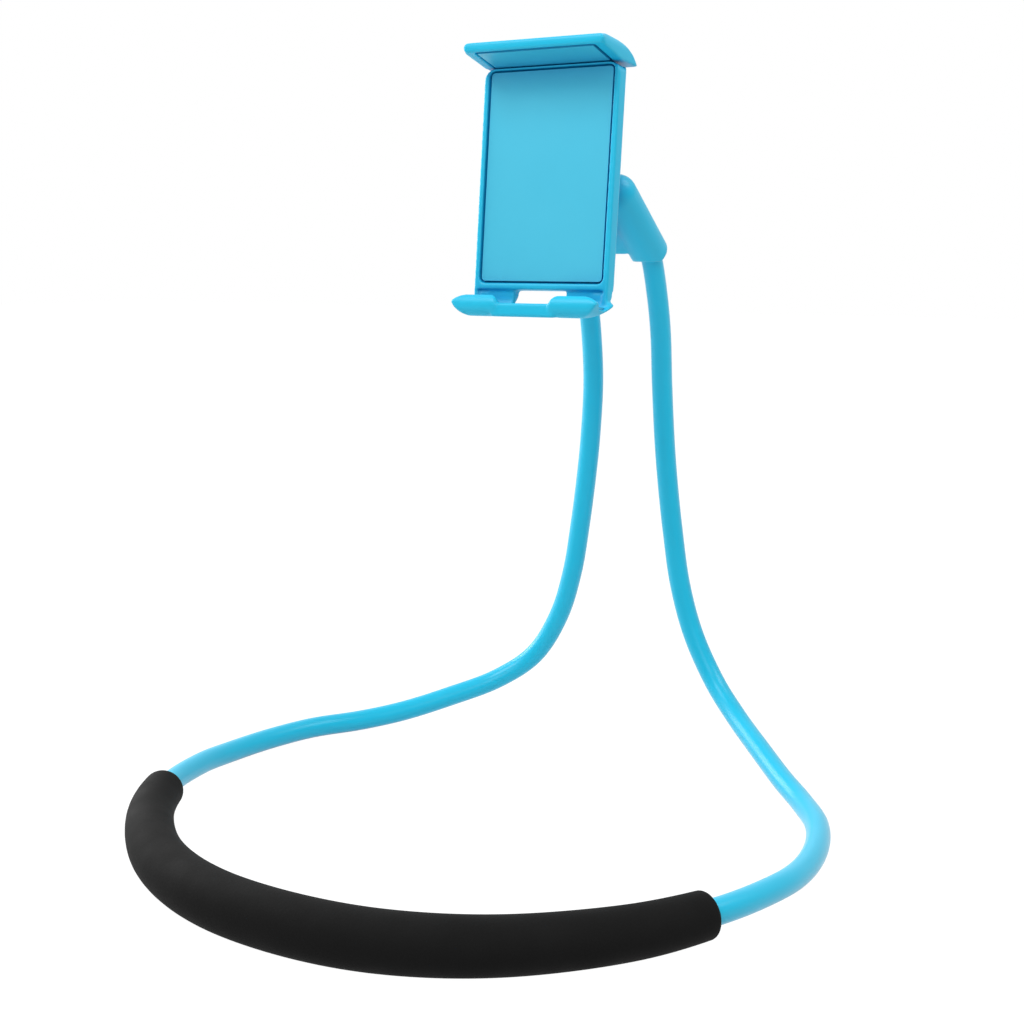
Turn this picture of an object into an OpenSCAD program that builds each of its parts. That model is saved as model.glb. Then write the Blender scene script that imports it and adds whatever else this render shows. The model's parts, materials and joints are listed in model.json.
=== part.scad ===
// Gooseneck phone holder that hangs round the neck or stands on a table.
// A bendable hose makes a neck ring and two legs; a yoke on the legs carries a
// ball joint, and a spring clamp on the ball holds the phone. +Z is up, the
// clamp faces -Y, and the origin is on the table under the middle of the part.

/* [Gooseneck] */
// Outer diameter of the hose's sheath
hose_d = 8; // [7:0.5:9]
// Diameter of the bendable core wire
core_d = 5; // [4:0.5:5.5]
// Depth of the flat where the hose touches the table
hose_flat = 0.1; // [0.05:0.05:0.2]

/* [Neck ring] */
// Width of the ring between the middles of its two sides
ring_w = 228; // [200:1:250]
// Length from the front of the ring to the legs, middle to middle
ring_l = 226; // [200:1:250]
// Height of the yoke's sleeve mouths
neck_h = 193.3; // [170:0.1:215]
// Distance between the two legs at the yoke
leg_gap = 30; // [28:0.5:34]

/* [Foam sleeve] */
// Outer diameter of the foam in the middle
foam_d = 17.6; // [15:0.1:20]
// Outer diameter of the foam near its ends
foam_end_d = 15.6; // [13:0.1:18]
// Rounding of the foam's end faces
foam_edge = 1.5; // [0.5:0.1:2.5]
// Depth of the flat where the foam rests on the table
foam_flat = 0.4; // [0.2:0.1:0.6]
// Clearance between the foam's bore and the hose
foam_gap = 0.1; // [0.1:0.05:0.3]

/* [Yoke] */
// Wall of the sleeves that hold the hose ends
sleeve_wall = 3.05; // [2.5:0.05:3.5]
// Length of a sleeve from its mouth to the middle of its domed end
sleeve_l = 36; // [32:0.5:40]
// Lean of the sleeves above the horizontal, in degrees
sleeve_lean = 36; // [30:1:42]
// Distance of the sleeve mouths in front of the legs
exit_in = 13.4; // [11:0.1:16]
// Depth of the hose in the sleeve
insert_l = 15; // [12:0.5:18]
// Lean of the sleeve's bore above the horizontal, in degrees
bore_lean = 43; // [40:1:46]
// Thickness of the web between the sleeves
web_t = 12; // [10:0.5:13]
// Distance from the sleeve mouths to the web
web_setback = 8; // [6:0.5:10]
// Rounding of the sleeve mouths
mouth_edge = 1; // [0.5:0.1:1.5]
// Reach of the sleeve mouths below their middles, where they are cut level
mouth_drop = 2.9; // [2.6:0.1:4]
// Diameter of the set screws that hold the hose ends
set_screw_d = 3; // [2.5:0.5:3]

/* [Ball joint] */
// Diameter of the ball
ball_d = 15; // [14:0.5:16]
// Diameter of the stud's neck beside the ball
neck_d = 6.8; // [6:0.1:7.4]
// Horizontal distance from the sleeve mouths to the ball
ball_reach = 30; // [28:0.5:32]
// Height of the ball above the sleeve mouths
ball_rise = 15; // [13:0.5:17]
// Lean of the socket above the horizontal, in degrees
socket_lean = 22; // [16:1:28]
// Length of the stud from its flange to the middle of the ball
stud_l = 10.2; // [10:0.1:12]
// Wall of the seat that lines the socket
seat_wall = 1.5; // [1.2:0.1:1.8]
// Wall of the socket round the seat
socket_wall = 2.1; // [1.8:0.1:2.6]
// Thickness of the ring that closes the socket
cap_t = 1.6; // [1.2:0.1:2]
// Running clearance of shafts, balls and their bores
run_gap = 0.05; // [0.02:0.01:0.1]
// Clearance between faces that pass each other
face_gap = 0.3; // [0.2:0.05:0.4]

/* [Clamp body] */
// Lean of the clamp back from the vertical, in degrees
clamp_tilt = 6.2; // [0:0.1:12]
// Width of the soft face pad
pad_w = 47.6; // [44:0.1:52]
// Height of the soft face pad
pad_h = 72.6; // [68:0.2:80]
// Thickness of the soft face pad
pad_t = 1.6; // [1.2:0.1:2]
// Width of the groove round the face pad
groove = 0.7; // [0.4:0.1:0.9]
// Width of the frame's side rails
rail_w = 2; // [1.6:0.1:3]
// Height of the rails above the face pad
rail_proud = 0.9; // [0.5:0.1:1.5]
// Thickness of the frame's floor behind the pad
floor_t = 1.6; // [1.2:0.1:2]
// Depth of the front frame behind the pad's face
frame_depth = 5; // [4.4:0.1:6]
// Wall of the back shell
shell_wall = 2; // [1.6:0.1:2.4]
// Depth of the space for the springs and the stud's screw
spring_bay = 3.6; // [3.4:0.1:4.4]
// Distance of the stud below the middle of the pad
stud_drop = 9; // [6:0.5:11]
// Diameter of the boss that the stud turns in
boss_d = 17; // [14:0.5:17]
// Height of that boss
boss_h = 2.4; // [2:0.1:2.6]
// Diameter of the stud's shaft in the boss
shaft_d = 8; // [7:0.5:8.5]
// Shank diameter of the housing screws
screw_d = 2.2; // [2:0.1:2.4]

/* [Lower jaw] */
// Width of each foot
foot_w = 18.5; // [15:0.5:19]
// Depth of the feet in front of the pad's face
foot_depth = 13; // [11:0.5:16]
// Wall of the feet's front lips
foot_wall = 2.5; // [2:0.1:3]
// Thickness of the feet's floor under the phone
foot_floor = 3.4; // [3:0.1:3.8]
// Depth of the feet behind the pad's face
foot_back = 4.2; // [3.6:0.1:4.8]
// Height of the feet's front lips
lip_h = 8.1; // [7:0.1:9]
// Length of the pointed outer end of a foot's lip
nose_l = 8; // [7:0.5:9]
// Drop of its point below the top of the lip
nose_drop = 2.8; // [2.4:0.2:3.4]
// Radius of the feet's underside, which sweeps up to the rear
foot_sweep = 19.6; // [18:0.1:24]
// Height of the cable window between the feet
window_h = 5.4; // [4.8:0.1:6]
// Height of the beam under the window
beam_h = 4.8; // [4:0.1:5.5]
// Width of the bottom bar of the frame
bar_h = 2.4; // [1.8:0.1:3]
// Rounding of the feet
foot_round = 4; // [3.5:0.1:4.4]
// Distance that the feet stand out beyond the rails
foot_flare = 2.2; // [1.6:0.1:2.8]
// Thickness of the soft pads in the feet
foot_pad_t = 1; // [0.8:0.1:1.2]

/* [Upper jaw] */
// Reach of the upper jaw in front of the pad's face
jaw_reach = 15.5; // [13:0.5:18]
// Reach of the upper jaw behind the pad's face
jaw_rear = 12; // [11.8:0.1:13]
// Height of the jaw's crown above the top of the frame
jaw_h = 7.4; // [6.8:0.1:8.2]
// Height of the jaw's rear edge above the top of the frame
jaw_rear_rise = 1; // [0.6:0.1:1.4]
// Rise of the jaw's underside to its lip
jaw_slope = 2.1; // [1.6:0.1:2.8]
// Wall of the upper jaw
jaw_wall = 2; // [1.6:0.1:2.4]
// Rounding of the jaw's cheeks
jaw_round = 4; // [3:0.1:4.5]
// Thickness of the soft pad under the jaw
jaw_pad_t = 1.4; // [1:0.1:1.6]
// Thickness of the jaw's front lip
jaw_lip_t = 1.6; // [1.4:0.1:2]
// Height of the jaw's front lip
jaw_lip_h = 3.6; // [3:0.1:4]
// Distance that the jaw slides up
travel = 32; // [25:1:34]
// Width of the slider
slider_w = 32; // [30:0.5:33]
// Thickness of the slider
slider_t = 2.4; // [2:0.1:2.6]
// Length of the slider that stays in the body when the jaw is open
slider_grip = 16; // [12:1:18]
// Outer diameter of the return springs
spring_d = 2.8; // [2.4:0.1:3]
// Diameter of the spring wire
wire_d = 0.5; // [0.4:0.1:0.6]
// Distance of each spring from the middle
spring_x = 10.5; // [10:0.1:11]

/* [Hidden] */
// Sides of the exact round shapes
$fn = 48;
// Sides of the swept hose and foam
hose_sides = 12;
foam_sides = 24;
// Overrun of every cut
over = 1;
hose_r = hose_d / 2;
core_r = core_d / 2;
foam_r = foam_d / 2;
foam_end_r = foam_end_d / 2;
ball_r = ball_d / 2;
leg_x = leg_gap / 2;
half_w = ring_w / 2;
y_front = (foam_r - ring_l - hose_r) / 2;
y_back = y_front + ring_l;
z_hose = hose_r - hose_flat;
z_foam = foam_r - foam_flat;
z_foam_end = foam_end_r - foam_flat;

// The ring's route: shares of the half width, of the length measured forward
// from the legs, and of the drop from the foam's height to the hose's height.
ring_shares = [
  [0, 1, 0], [0.28, 0.981, 0.02], [0.54, 0.918, 0.08], [0.77, 0.811, 0.15],
  [0.912, 0.697, 0.22], [0.983, 0.581, 0.54], [1, 0.488, 0.88],
  [0.98, 0.395, 1], [0.925, 0.31, 1], [0.83, 0.235, 1]
];
// The route up the legs: shares of the way from leg to ring side, of the ring's
// length forward from the legs, and of the height above the lying hose.
leg_shares = [
  [0.678, 0.174, 0.012], [0.54, 0.112, 0.036], [0.39, 0.05, 0.069],
  [0.257, 0.011, 0.124], [0.154, 0.001, 0.215], [0.092, 0, 0.317],
  [0.057, 0, 0.423], [0.03, 0, 0.529], [0.012, 0, 0.624],
  [0, 0.002, 0.735], [0, 0.012, 0.841], [0, 0.0315, 0.927]
];
exit_point = [leg_x, y_back - exit_in, neck_h];
bore_dir = [0, -cos(bore_lean), sin(bore_lean)];
route = concat(
  [for (s = ring_shares) [s[0] * half_w, y_back - s[1] * ring_l, z_foam + s[2] * (z_hose - z_foam)]],
  [for (s = leg_shares) [
    leg_x + s[0] * (half_w - leg_x), y_back - s[1] * ring_l, z_hose + s[2] * (neck_h - z_hose)
  ]],
  [exit_point, exit_point + insert_l * bore_dir]
);
route_end = len(route) - 1;
// Places along the route, as shares of its 23 stretches: the foam's end, and
// the two ends of each pair of bends
foam_stop_share = 3.9 / 23;
low_bend_shares = [12 / 23, 14 / 23];
mid_bend_shares = [17 / 23, 18 / 23];
top_bend_shares = [20 / 23, 21.5 / 23];
foam_stop = foam_stop_share * route_end;
low_bend = low_bend_shares * route_end;
mid_bend = mid_bend_shares * route_end;
top_bend = top_bend_shares * route_end;
// Steps between two points of the route
steps = 2;

// A point of the smooth curve through the route, with t counted in points. Its
// last stretch is straight, as it lies in the bore of the sleeve
function mirrored(p) = [-p[0], p[1], p[2]];
function route_at(i) =
  i < 0 ? mirrored(route[-i]) :
  i > route_end ? 2 * route[route_end] - route[2 * route_end - i] : route[i];
function blend(a, b, c, d, u) =
  0.5 * (2 * b + (c - a) * u + (2 * a - 5 * b + 4 * c - d) * u * u + (3 * b - a - 3 * c + d) * u * u * u);
function curve(t) =
  let (i = min(floor(t), route_end - 1))
  i == route_end - 1 ? route[i] + (t - i) * (route[route_end] - route[i]) :
  blend(route_at(i - 1), route_at(i), route_at(i + 1), route_at(i + 2), t - i);
function unit(v) = v / norm(v);
// The heading is taken over this share of a stretch to either side
tangent_share = 0.02;
function heading(t) = unit(curve(min(t + tangent_share, route_end)) - curve(t - tangent_share));
// The section turns from upright on the ring to square with X on the legs
turn_shares = [9 / 23, 15 / 23];
function turned(t) =
  max(0, min(1, (t / route_end - turn_shares[0]) / (turn_shares[1] - turn_shares[0])));
function section_x(t) =
  let (h = heading(t), ref = [turned(t), 0, 1 - turned(t)])
  unit(ref - (ref * h) * h);
function ring_of(p, h, n, r, sides) = [
  for (k = [0:sides - 1])
  let (a = k * 360 / sides, q = p + r * (cos(a) * n + sin(a) * cross(h, n)))
  [q[0], q[1], max(q[2], 0)]
];
function ring_at(t, r, sides) =
  t >= 0 ? ring_of(curve(t), heading(t), section_x(t), r, sides) :
  [for (q = ring_at(-t, r, sides)) mirrored(q)];
function stops(t0, t1) = [for (k = [0:round((t1 - t0) * steps)]) t0 + k / steps];
function foam_radius(t) = foam_r + (foam_end_r - foam_r) * pow(abs(t) / foam_stop, 2);

// A closed tube between two lists of rings, outer and inner, of equal count
module tube_between(outer, inner) {
  n = len(outer[0]);
  m = len(outer);
  points = [for (rings = [outer, inner]) each [for (ring = rings) each ring]];
  function quad(a, b, c, d) = [[a, b, c], [a, c, d]];
  walls = [
    for (i = [0:m - 2]) for (k = [0:n - 1])
    let (a = i * n + k, b = i * n + (k + 1) % n, in = m * n)
    each concat(quad(a, a + n, b + n, b), quad(in + b, in + b + n, in + a + n, in + a))
  ];
  ends = [
    for (k = [0:n - 1])
    let (a = k, b = (k + 1) % n, in = m * n, last = (m - 1) * n)
    each concat(quad(a, b, in + b, in + a), quad(last + b, last + a, in + last + a, in + last + b))
  ];
  polyhedron(points, concat(walls, ends), convexity = 6);
}

// A closed rod along a list of rings
module rod_along(rings) {
  n = len(rings[0]);
  m = len(rings);
  walls = [
    for (i = [0:m - 2]) for (k = [0:n - 1])
    let (a = i * n + k, b = i * n + (k + 1) % n)
    each [[a, a + n, b + n], [a, b + n, b]]
  ];
  ends = [[for (k = [0:n - 1]) k], [for (k = [0:n - 1]) m * n - 1 - k]];
  polyhedron([for (ring = rings) each ring], concat(walls, ends), convexity = 6);
}

module sheath(t0, t1) {
  tube_between(
    [for (t = stops(t0, t1)) ring_at(t, hose_r, hose_sides)],
    [for (t = stops(t0, t1)) ring_at(t, core_r + run_gap, hose_sides)]
  );
}

module core(t0, t1) {
  rod_along([for (t = stops(t0, t1)) ring_at(t, core_r, hose_sides)]);
}

module both_sides() {
  children();
  mirror([1, 0, 0]) children();
}

hose_color = "deepskyblue";
body_color = "deepskyblue";
wire_color = "silver";

// The foam's last ring is drawn in and set back for its rounded edge
module foam_sleeve() {
  end = foam_stop;
  count = ceil(end * steps);
  inset = foam_edge / norm(curve(end) - curve(end - 1));
  places = concat([-end, inset - end], [for (k = [1 - count:count - 1]) k * end / count], [end - inset, end]);
  drawn = [for (i = [0:len(places) - 1]) (i == 0 || i == len(places) - 1) ? foam_edge : 0];
  color("dimgray") tube_between(
    [for (i = [0:len(places) - 1]) ring_at(places[i], foam_radius(places[i]) - drawn[i], foam_sides)],
    [for (t = places) ring_at(t, hose_r + foam_gap, foam_sides)]
  );
}

module ring_sheath() {
  color(hose_color) sheath(-low_bend[0], low_bend[0]);
}

module ring_core() {
  color(wire_color) core(-low_bend[0], low_bend[0]);
}

module low_bend_sheaths() {
  color(hose_color) both_sides() sheath(low_bend[0], low_bend[1]);
}

module low_bend_cores() {
  color(wire_color) both_sides() core(low_bend[0], low_bend[1]);
}

module lower_leg_sheaths() {
  color(hose_color) both_sides() sheath(low_bend[1], mid_bend[0]);
}

module lower_leg_cores() {
  color(wire_color) both_sides() core(low_bend[1], mid_bend[0]);
}

module mid_bend_sheaths() {
  color(hose_color) both_sides() sheath(mid_bend[0], mid_bend[1]);
}

module mid_bend_cores() {
  color(wire_color) both_sides() core(mid_bend[0], mid_bend[1]);
}

module upper_leg_sheaths() {
  color(hose_color) both_sides() sheath(mid_bend[1], top_bend[0]);
}

module upper_leg_cores() {
  color(wire_color) both_sides() core(mid_bend[1], top_bend[0]);
}

module top_bend_sheaths() {
  color(hose_color) both_sides() sheath(top_bend[0], top_bend[1]);
}

module top_bend_cores() {
  color(wire_color) both_sides() core(top_bend[0], top_bend[1]);
}

module leg_end_sheaths() {
  color(hose_color) both_sides() sheath(top_bend[1], route_end);
}

module leg_end_cores() {
  color(wire_color) both_sides() core(top_bend[1], route_end);
}

// Places of the yoke and the ball
sleeve_r = hose_r + run_gap + sleeve_wall;
ball_centre = [0, exit_point[1] - ball_reach, exit_point[2] + ball_rise];
seat_r = ball_r + run_gap + seat_wall;
socket_r = seat_r + run_gap + socket_wall;
// Angle from the socket's axis to the edge that keeps the ball in
rim_angle = 59;
seat_front = (ball_r + run_gap) * cos(rim_angle);
rim_r = (ball_r + run_gap) * sin(rim_angle);
cap_back = seat_front + face_gap;
socket_front = cap_back + cap_t;
seat_back = seat_r + face_gap;
// The barrel runs back from the ball to the sleeves, leaning less than the socket
barrel_l = 19;
barrel_lean = 8;
barrel_share = 0.96;
barrel_full = seat_back + socket_wall;

// Puts the local +Z along a sleeve, from its mouth up to its dome
module on_sleeve() {
  translate(exit_point) rotate([90 - sleeve_lean, 0, 0]) children();
}

// Puts the local +Z along the socket's axis, from the ball towards the clamp
module on_socket() {
  translate(ball_centre) rotate([90 - socket_lean, 0, 0]) children();
}

// A sleeve with a rounded mouth at the bottom and a dome on top
module domed_sleeve() {
  rotate_extrude() {
    square([sleeve_r - mouth_edge, sleeve_l]);
    translate([0, mouth_edge]) square([sleeve_r, sleeve_l - mouth_edge]);
    translate([sleeve_r - mouth_edge, mouth_edge]) circle(mouth_edge);
    translate([0, sleeve_l]) intersection() {
      circle(sleeve_r);
      square(sleeve_r);
    }
  }
}

module yoke() {
  bore_start = exit_point - over * bore_dir;
  color(body_color) difference() {
    union() {
      both_sides() on_sleeve() domed_sleeve();
      on_sleeve() translate([-leg_gap, -web_t / 2, web_setback])
        cube([leg_gap, web_t, sleeve_l - web_setback]);
      on_socket() translate([0, 0, -barrel_full]) cylinder(r = socket_r, h = barrel_full + socket_front);
      translate(ball_centre) rotate([90 - barrel_lean, 0, 0]) translate([0, 0, -barrel_l]) {
        cylinder(r = socket_r * barrel_share, h = barrel_l);
        sphere(socket_r * barrel_share);
      }
    }
    both_sides() translate(bore_start) rotate([90 - bore_lean, 0, 0])
      cylinder(r = hose_r + run_gap, h = insert_l + over + run_gap);
    on_socket() translate([0, 0, -seat_back])
      cylinder(r = seat_r + run_gap, h = seat_back + socket_front + over);
    both_sides() set_screw_place() cylinder(r = set_screw_d / 2 + run_gap, h = sleeve_r + over);
    translate([-leg_gap, exit_point[1] - sleeve_l, exit_point[2] - mouth_drop - sleeve_r])
      cube([2 * leg_gap, 2 * sleeve_l, sleeve_r]);
  }
}

// A set screw stands square on the hose, on the upper rear side of its sleeve
set_screw_in = insert_l * 0.55;
module set_screw_place() {
  translate(exit_point + set_screw_in * bore_dir) rotate([-bore_lean, 0, 0]) children();
}

module hose_set_screws() {
  socket_key = set_screw_d * 0.5;
  key_depth = set_screw_d * 0.3;
  tip = hose_r + run_gap;
  head = sleeve_r - set_screw_in * sin(bore_lean - sleeve_lean);
  color("dimgray") both_sides() set_screw_place() difference() {
    translate([0, 0, tip]) cylinder(r = set_screw_d / 2, h = head - tip);
    translate([0, 0, head - key_depth]) cylinder(d = socket_key, h = key_depth + over, $fn = 6);
  }
}

// A cup of nylon that turns in the socket and holds the ball past its middle
module ball_seat() {
  color("whitesmoke") on_socket() difference() {
    translate([0, 0, -seat_r]) cylinder(r = seat_r, h = seat_r + seat_front);
    sphere(ball_r + run_gap);
    cylinder(r = rim_r, h = seat_front + over);
  }
}

// The ring in the socket's mouth, open in a cone so that the stud can tilt
module socket_cap() {
  color(body_color) on_socket() difference() {
    translate([0, 0, cap_back]) cylinder(r = seat_r, h = cap_t);
    translate([0, 0, cap_back - over]) cylinder(r = rim_r, h = cap_t + 2 * over);
    translate([0, 0, cap_back]) cylinder(r1 = rim_r, r2 = rim_r + cap_t / 2, h = cap_t);
    translate([0, 0, cap_back + cap_t]) cylinder(r = rim_r + cap_t / 2, h = over);
  }
}

// Depths of the clamp's layers behind the face of the pad
floor_back = pad_t + floor_t;
slider_front = floor_back + face_gap / 2;
slider_back = slider_front + slider_t;
bay_front = slider_back + face_gap / 2;
wall_front = bay_front + spring_bay;
wall_back = wall_front + shell_wall;
boss_back = wall_back + boss_h;
flange_t = 2;
flange_front = boss_back + face_gap;
flange_back = flange_front + flange_t;
// Distance of the ball behind the face of the pad
ball_depth = flange_back + stud_l;
// Middle of the pad's face, worked out from the ball
clamp_place = ball_centre
  - ball_depth * [0, cos(clamp_tilt), -sin(clamp_tilt)]
  + stud_drop * [0, sin(clamp_tilt), cos(clamp_tilt)];

module on_clamp() {
  translate(clamp_place) rotate([-clamp_tilt, 0, 0]) children();
}

// Puts the local +Z along the stud, from the face of the pad back to the ball
module on_stud() {
  on_clamp() translate([0, 0, -stud_drop]) rotate([-90, 0, 0]) children();
}

module ball_stud() {
  shaft_front = wall_front - face_gap;
  hole_l = boss_back + flange_t;
  color("gainsboro") on_stud() difference() {
    union() {
      translate([0, 0, shaft_front]) cylinder(d = shaft_d, h = flange_front - shaft_front);
      translate([0, 0, flange_front]) cylinder(d = flange_d, h = flange_t);
      translate([0, 0, flange_back]) cylinder(d = neck_d, h = ball_depth - flange_back);
      translate([0, 0, ball_depth]) sphere(ball_r);
    }
    translate([0, 0, shaft_front - over])
      cylinder(r = stud_screw_d / 2 + run_gap, h = hole_l - shaft_front + over);
  }
}
flange_d = 1.6 * shaft_d;
stud_screw_d = 3;
washer_t = 1;
washer_d = 11;

module stud_washer() {
  back = wall_front - face_gap;
  color("silver") on_stud() translate([0, 0, back - washer_t]) difference() {
    cylinder(d = washer_d, h = washer_t);
    translate([0, 0, -over]) cylinder(r = stud_screw_d / 2 + run_gap, h = washer_t + 2 * over);
  }
}

module stud_screw() {
  seat = wall_front - face_gap - washer_t;
  head_t = seat - bay_front - face_gap;
  color("silver") on_stud() {
    translate([0, 0, seat - head_t]) cylinder(d = 2 * stud_screw_d, h = head_t);
    translate([0, 0, seat]) cylinder(d = stud_screw_d, h = boss_back - seat);
  }
}

// A rectangle with round corners, its lower left corner at the origin
module rounded_rect(w, h, r) {
  translate([r, 0]) square([w - 2 * r, h]);
  translate([0, r]) square([w, h - 2 * r]);
  for (x = [r, w - r]) for (y = [r, h - r]) translate([x, y]) circle(r);
}

// A slab from depth y0 to y1 with round corners in the front view
module slab(w, z0, z1, y0, y1, r) {
  translate([-w / 2, y1, z0]) rotate([90, 0, 0]) linear_extrude(y1 - y0) rounded_rect(w, z1 - z0, r);
}

// Extrudes an outline drawn in depth and height from x0 to x1
module across(x0, x1) {
  translate([x0, 0, 0]) rotate([90, 0, 90]) linear_extrude(x1 - x0) children();
}

// Sizes of the clamp's outline
recess_w = pad_w + 2 * groove;
recess_h = pad_h + 2 * groove;
frame_w = recess_w + 2 * rail_w;
frame_top = recess_h / 2 + groove;
bar_bottom = -recess_h / 2 - bar_h;
beam_top = bar_bottom - window_h;
jaw_bottom = beam_top - beam_h;
frame_round = 4;
recess_round = 2;
channel_w = slider_w + face_gap;
foot_outer = frame_w / 2 + foot_flare;
foot_inner = foot_outer - foot_w;
screw_x = channel_w / 4 + recess_w / 4 - groove;
screw_z = 0.88 * recess_h / 2;
slot_w = 4.5;
slot_h = 0.9;
slot_x = foot_outer - 1.3 * slot_w;

// Cross section of a foot: a hook that stands out under the pad and turns up
module foot_outline() {
  difference() {
    intersection() {
      union() {
        translate([-foot_depth, jaw_bottom]) rounded_rect(foot_depth + foot_back, lip_h, foot_round);
        translate([0, jaw_bottom + foot_round])
          square([foot_back, bar_bottom - jaw_bottom - foot_round + bar_h / 2]);
      }
      translate([-0.9 * foot_depth, jaw_bottom + foot_sweep]) circle(foot_sweep, $fn = 96);
    }
    trough_outline(0);
  }
}

// The trough that the phone's edge lies in, drawn in by an inset
module trough_outline(inset) {
  translate([foot_wall - foot_depth + inset, jaw_bottom + foot_floor + inset])
    rounded_rect(foot_depth - foot_wall - 2 * inset, 2 * lip_h, foot_round - inset);
}

// Radius of the arc that turns level at one end and rises over a run
function arc_r(run, rise) = (run * run + rise * rise) / (2 * rise);

// Front view of a foot's lip: round inside, and drawn out to a point by two arcs outside
module lip_face() {
  lip_round = 0.98 * lip_h / 2;
  top_r = arc_r(nose_l, nose_drop);
  low_r = arc_r(nose_l, lip_h - nose_drop);
  translate([foot_inner, jaw_bottom]) rounded_rect(foot_w - nose_l + lip_round, lip_h, lip_round);
  translate([foot_outer - nose_l, jaw_bottom]) intersection() {
    translate([0, lip_h - top_r]) circle(top_r, $fn = 96);
    translate([0, low_r]) circle(low_r, $fn = 96);
    square([nose_l, lip_h]);
  }
}

// Behind its lip the foot stands up to the bottom bar
module front_foot() {
  stand_w = frame_w / 2 - foot_inner;
  stand_top = bar_bottom + bar_h / 2;
  intersection() {
    across(foot_inner, foot_outer) foot_outline();
    union() {
      translate([0, foot_back + over, 0]) rotate([90, 0, 0])
        linear_extrude(foot_depth + foot_back + 2 * over) lip_face();
      translate([foot_inner + stand_w / 2, 0, 0])
        slab(stand_w, jaw_bottom + lip_h / 2, stand_top, -foot_wall, foot_back + over, foot_wall);
    }
  }
}

// A round-edged beam joins the lips, in front of the way for the cable
module front_beam() {
  beam_half = foot_inner + foot_wall - face_gap;
  across(-beam_half, beam_half) translate([groove - foot_depth, jaw_bottom])
    rounded_rect(foot_wall, beam_h, foot_wall / 3);
}

module frame_cuts() {
  slab(recess_w, -recess_h / 2, recess_h / 2, -rail_proud - over, pad_t, recess_round);
  translate([-channel_w / 2, floor_back, -recess_h / 2 - groove])
    cube([channel_w, frame_depth + over, recess_h + frame_top]);
  both_sides() translate([slot_x - slot_w / 2, -over, bar_bottom - slot_h])
    cube([slot_w, foot_back + 2 * over, slot_h]);
  for (z = [-screw_z, screw_z]) both_sides() translate([screw_x, pad_t + floor_t / 2, z])
    rotate([-90, 0, 0]) cylinder(r = screw_d / 2 + run_gap, h = frame_depth + over);
}

module front_frame() {
  color(body_color) on_clamp() difference() {
    union() {
      slab(frame_w, bar_bottom, frame_top, -rail_proud, frame_depth, frame_round);
      translate([-frame_w / 2, -rail_proud, bar_bottom])
        cube([frame_w, rail_proud + frame_depth, 2 * frame_round]);
      both_sides() {
        front_foot();
        translate([recess_w / 2, -rail_proud, beam_top])
          cube([rail_w, rail_proud + groove, bar_bottom - beam_top + over]);
      }
      front_beam();
    }
    frame_cuts();
  }
}

module face_pad() {
  color("skyblue") on_clamp() slab(pad_w, -pad_h / 2, pad_h / 2, 0, pad_t, recess_round - groove);
}

// A soft strip on the floor of a foot's trough
module foot_pad() {
  across(foot_inner + foot_wall, foot_outer - foot_wall) intersection() {
    trough_outline(run_gap);
    translate([-foot_depth, jaw_bottom]) square([foot_depth, foot_floor + foot_pad_t]);
  }
}

module left_foot_pad() {
  color("steelblue") on_clamp() mirror([1, 0, 0]) foot_pad();
}

module right_foot_pad() {
  color("steelblue") on_clamp() foot_pad();
}

shell_top = frame_top - groove;
shell_bottom = bar_bottom + bar_h / 2;
shell_shoulder = 1.5;
shell_taper = 3.2;
shell_inset = 1;
shell_half = frame_w / 2 - shell_inset;
slider_l = travel + slider_grip;
screw_head_d = 2 * screw_d;
screw_head_t = 0.6 * screw_d;
pin_d = 1.4;
pin_z = frame_top - slider_l + 2 * spring_d;
fixed_pin_z = -recess_h / 2 + 2 * spring_d;
pocket_z = 0.95 * recess_h / 2;

module back_shell() {
  color(body_color) on_clamp() difference() {
    union() {
      intersection() {
        translate([0, 0, shell_bottom]) linear_extrude(shell_top - shell_bottom) polygon([
          [-shell_half, frame_depth], [shell_half, frame_depth],
          [shell_half, frame_depth + shell_shoulder], [shell_half - shell_taper, wall_back],
          [shell_taper - shell_half, wall_back], [-shell_half, frame_depth + shell_shoulder]
        ]);
        across(-shell_half, shell_half) polygon([
          [frame_depth, shell_bottom], [frame_depth, shell_top],
          [frame_depth + shell_shoulder, shell_top], [wall_back, shell_top - shell_taper],
          [wall_back, shell_bottom + shell_taper], [frame_depth + shell_shoulder, shell_bottom]
        ]);
      }
      translate([0, wall_back, -stud_drop]) rotate([-90, 0, 0]) cylinder(d = boss_d, h = boss_h);
    }
    translate([-channel_w / 2, frame_depth - over, -pocket_z])
      cube([channel_w, wall_front - frame_depth + over, 2 * pocket_z]);
    translate([-channel_w / 2, frame_depth - over, 0])
      cube([channel_w, bay_front - frame_depth + over, shell_top + over]);
    translate([0, frame_depth, -stud_drop]) rotate([-90, 0, 0])
      cylinder(r = shaft_d / 2 + run_gap, h = boss_back);
    for (z = [-screw_z, screw_z]) both_sides() translate([screw_x, frame_depth - over, z])
      rotate([-90, 0, 0]) {
        cylinder(r = screw_d / 2 + run_gap, h = wall_back);
        translate([0, 0, wall_back - frame_depth + over - screw_head_t])
          cylinder(r = screw_head_d / 2 + run_gap, h = screw_head_t + over);
      }
  }
}

module housing_screws() {
  tip = pad_t + floor_t / 2 + run_gap;
  color("dimgray") on_clamp() for (z = [-screw_z, screw_z]) both_sides()
    translate([screw_x, 0, z]) rotate([-90, 0, 0]) difference() {
      union() {
        translate([0, 0, tip]) cylinder(d = screw_d, h = wall_back - screw_head_t - tip);
        translate([0, 0, wall_back - screw_head_t]) cylinder(d = screw_head_d, h = screw_head_t);
      }
      for (a = [0, 90]) rotate([0, 0, a])
        translate([-screw_d / 2, -screw_d / 8, wall_back - screw_head_t / 2])
        cube([screw_d, screw_d / 4, screw_head_t]);
    }
}

spring_y = bay_front + face_gap + spring_d / 2;

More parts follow.
